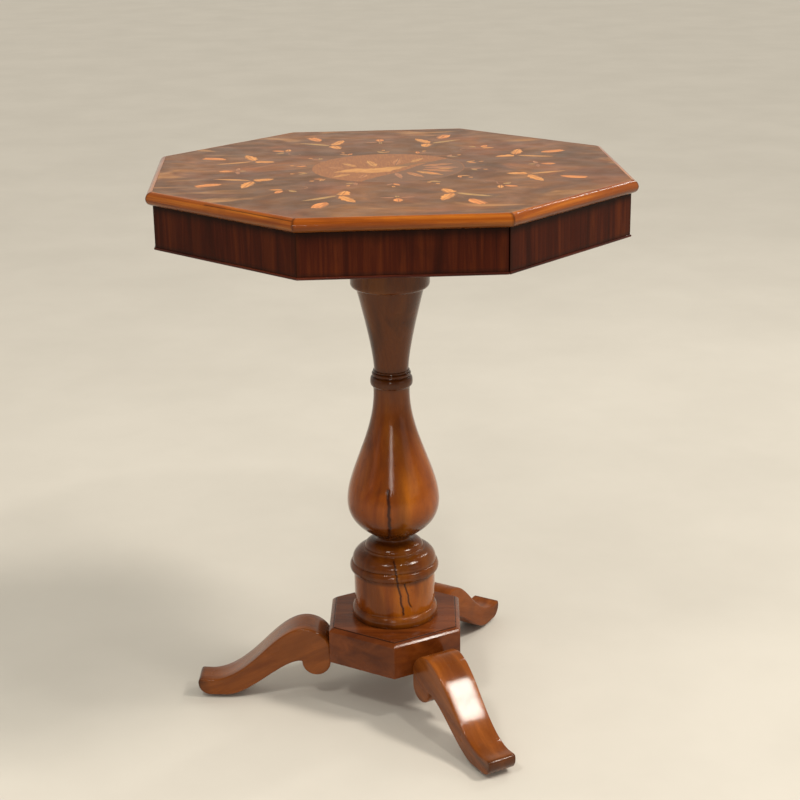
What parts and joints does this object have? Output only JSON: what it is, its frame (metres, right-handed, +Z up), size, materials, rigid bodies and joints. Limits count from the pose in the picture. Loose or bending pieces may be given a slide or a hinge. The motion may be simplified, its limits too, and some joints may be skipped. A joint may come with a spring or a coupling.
{
  "type": "tilt top table",
  "caption": "Octagonal veneered tilt-top table with an apron, a turned column, a hexagonal base block and three scrolled legs; the top tips up on pins and a bolt locks it flat.",
  "frame": {"origin": "on the floor under the column's axis, which is the centre of the octagonal top", "axes": "+Z up along the column, -Y towards the front edge of the top, +X to the right"},
  "size_m": [0.6, 0.6, 0.749],
  "materials": {
    "walnut_veneer": "figured walnut veneer with marquetry in light and orange woods, French polished",
    "fruitwood": "orange-brown fruitwood, French polished to a gloss",
    "rosewood_veneer": "dark red-brown veneer with upright grain, polished",
    "pine_carcass": "unfinished softwood, darkened by age",
    "beech_block": "unfinished beech, darkened by age",
    "turned_walnut": "turned walnut, French polished to a gloss",
    "polished_walnut": "sawn and shaped walnut, French polished",
    "brass": "cast and filed brass, dulled by age",
    "steel": "plain steel, slightly rusted",
    "leather": "dark worn leather"
  },
  "bodies": {
    "base": {"pivot_block": "beech_block", "pivot_pin_left": "steel", "pivot_pin_right": "steel", "catch_keeper": "brass", "keeper_screw_1": "brass", "keeper_screw_2": "brass", "column": "turned_walnut", "column_top_wedge": "beech_block", "column_foot_wedge": "beech_block", "hex_block": "turned_walnut", "leg_front": "polished_walnut", "leg_back": "polished_walnut", "leg_left": "polished_walnut", "foot_pad_front": "leather", "foot_pad_back": "leather", "foot_pad_left": "leather"},
    "top": {"top_board": "pine_carcass", "top_veneer": "walnut_veneer", "edge_moulding_1": "fruitwood", "edge_moulding_2": "fruitwood", "edge_moulding_3": "fruitwood", "edge_moulding_4": "fruitwood", "edge_moulding_5": "fruitwood", "edge_moulding_6": "fruitwood", "edge_moulding_7": "fruitwood", "edge_moulding_8": "fruitwood", "apron_panel_1": "rosewood_veneer", "apron_panel_2": "rosewood_veneer", "apron_panel_3": "rosewood_veneer", "apron_panel_4": "rosewood_veneer", "apron_panel_5": "rosewood_veneer", "apron_panel_6": "rosewood_veneer", "apron_panel_7": "rosewood_veneer", "apron_panel_8": "rosewood_veneer", "apron_bead_1": "rosewood_veneer", "apron_bead_2": "rosewood_veneer", "apron_bead_3": "rosewood_veneer", "apron_bead_4": "rosewood_veneer", "apron_bead_5": "rosewood_veneer", "apron_bead_6": "rosewood_veneer", "apron_bead_7": "rosewood_veneer", "apron_bead_8": "rosewood_veneer", "corner_block_1": "pine_carcass", "corner_block_2": "pine_carcass", "corner_block_3": "pine_carcass", "corner_block_4": "pine_carcass", "corner_block_5": "pine_carcass", "corner_block_6": "pine_carcass", "corner_block_7": "pine_carcass", "corner_block_8": "pine_carcass", "bearer_left": "pine_carcass", "bearer_right": "pine_carcass", "bearer_screw_1": "steel", "bearer_screw_2": "steel", "bearer_screw_3": "steel", "bearer_screw_4": "steel", "catch_case": "brass", "catch_screw_1": "brass", "catch_screw_2": "brass"},
    "catch_bolt": {"catch_bolt": "brass"}
  },
  "joints": [
    {"name": "top_tilt", "type": "hinge", "parent": "base", "child": "top", "pos_m": [0, 0.081, 0.7182], "axis": [-1, 0, 0], "range_deg": [0, 90]},
    {"name": "catch_slide", "type": "slide", "parent": "top", "child": "catch_bolt", "axis": [0, 1, 0], "range_m": [0, 0.01]}
  ]
}
